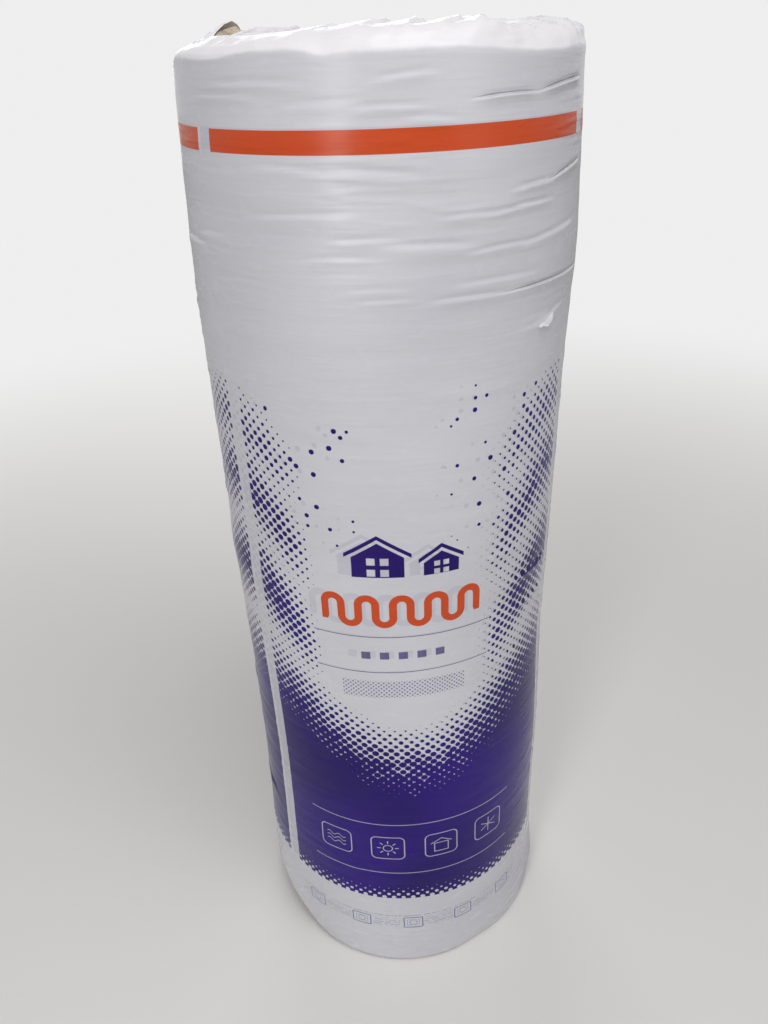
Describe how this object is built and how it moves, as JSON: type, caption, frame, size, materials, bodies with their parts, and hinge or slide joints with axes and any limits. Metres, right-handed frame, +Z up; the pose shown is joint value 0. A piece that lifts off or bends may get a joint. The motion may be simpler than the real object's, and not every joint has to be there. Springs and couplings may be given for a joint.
{
  "type": "insulation roll",
  "caption": "Upright roll of glass wool blanket, wound on itself round a small eye and wrapped in printed plastic film whose ends are gathered and folded in over both faces.",
  "frame": {"origin": "under the middle of the roll, on the face that it stands on", "axes": "+Z up along the roll and its eye, -Y towards the side with the print seen in the picture, +X to that side's right"},
  "size_m": [0.415, 0.415, 1.2144],
  "materials": {
    "wool": "matte matted glass fibre, straw brown",
    "film": "thin glossy white film, printed with a plain orange stripe and a violet band"
  },
  "bodies": {
    "root": {"wool_roll": "wool", "wrap_film": "film"}
  },
  "joints": []
}
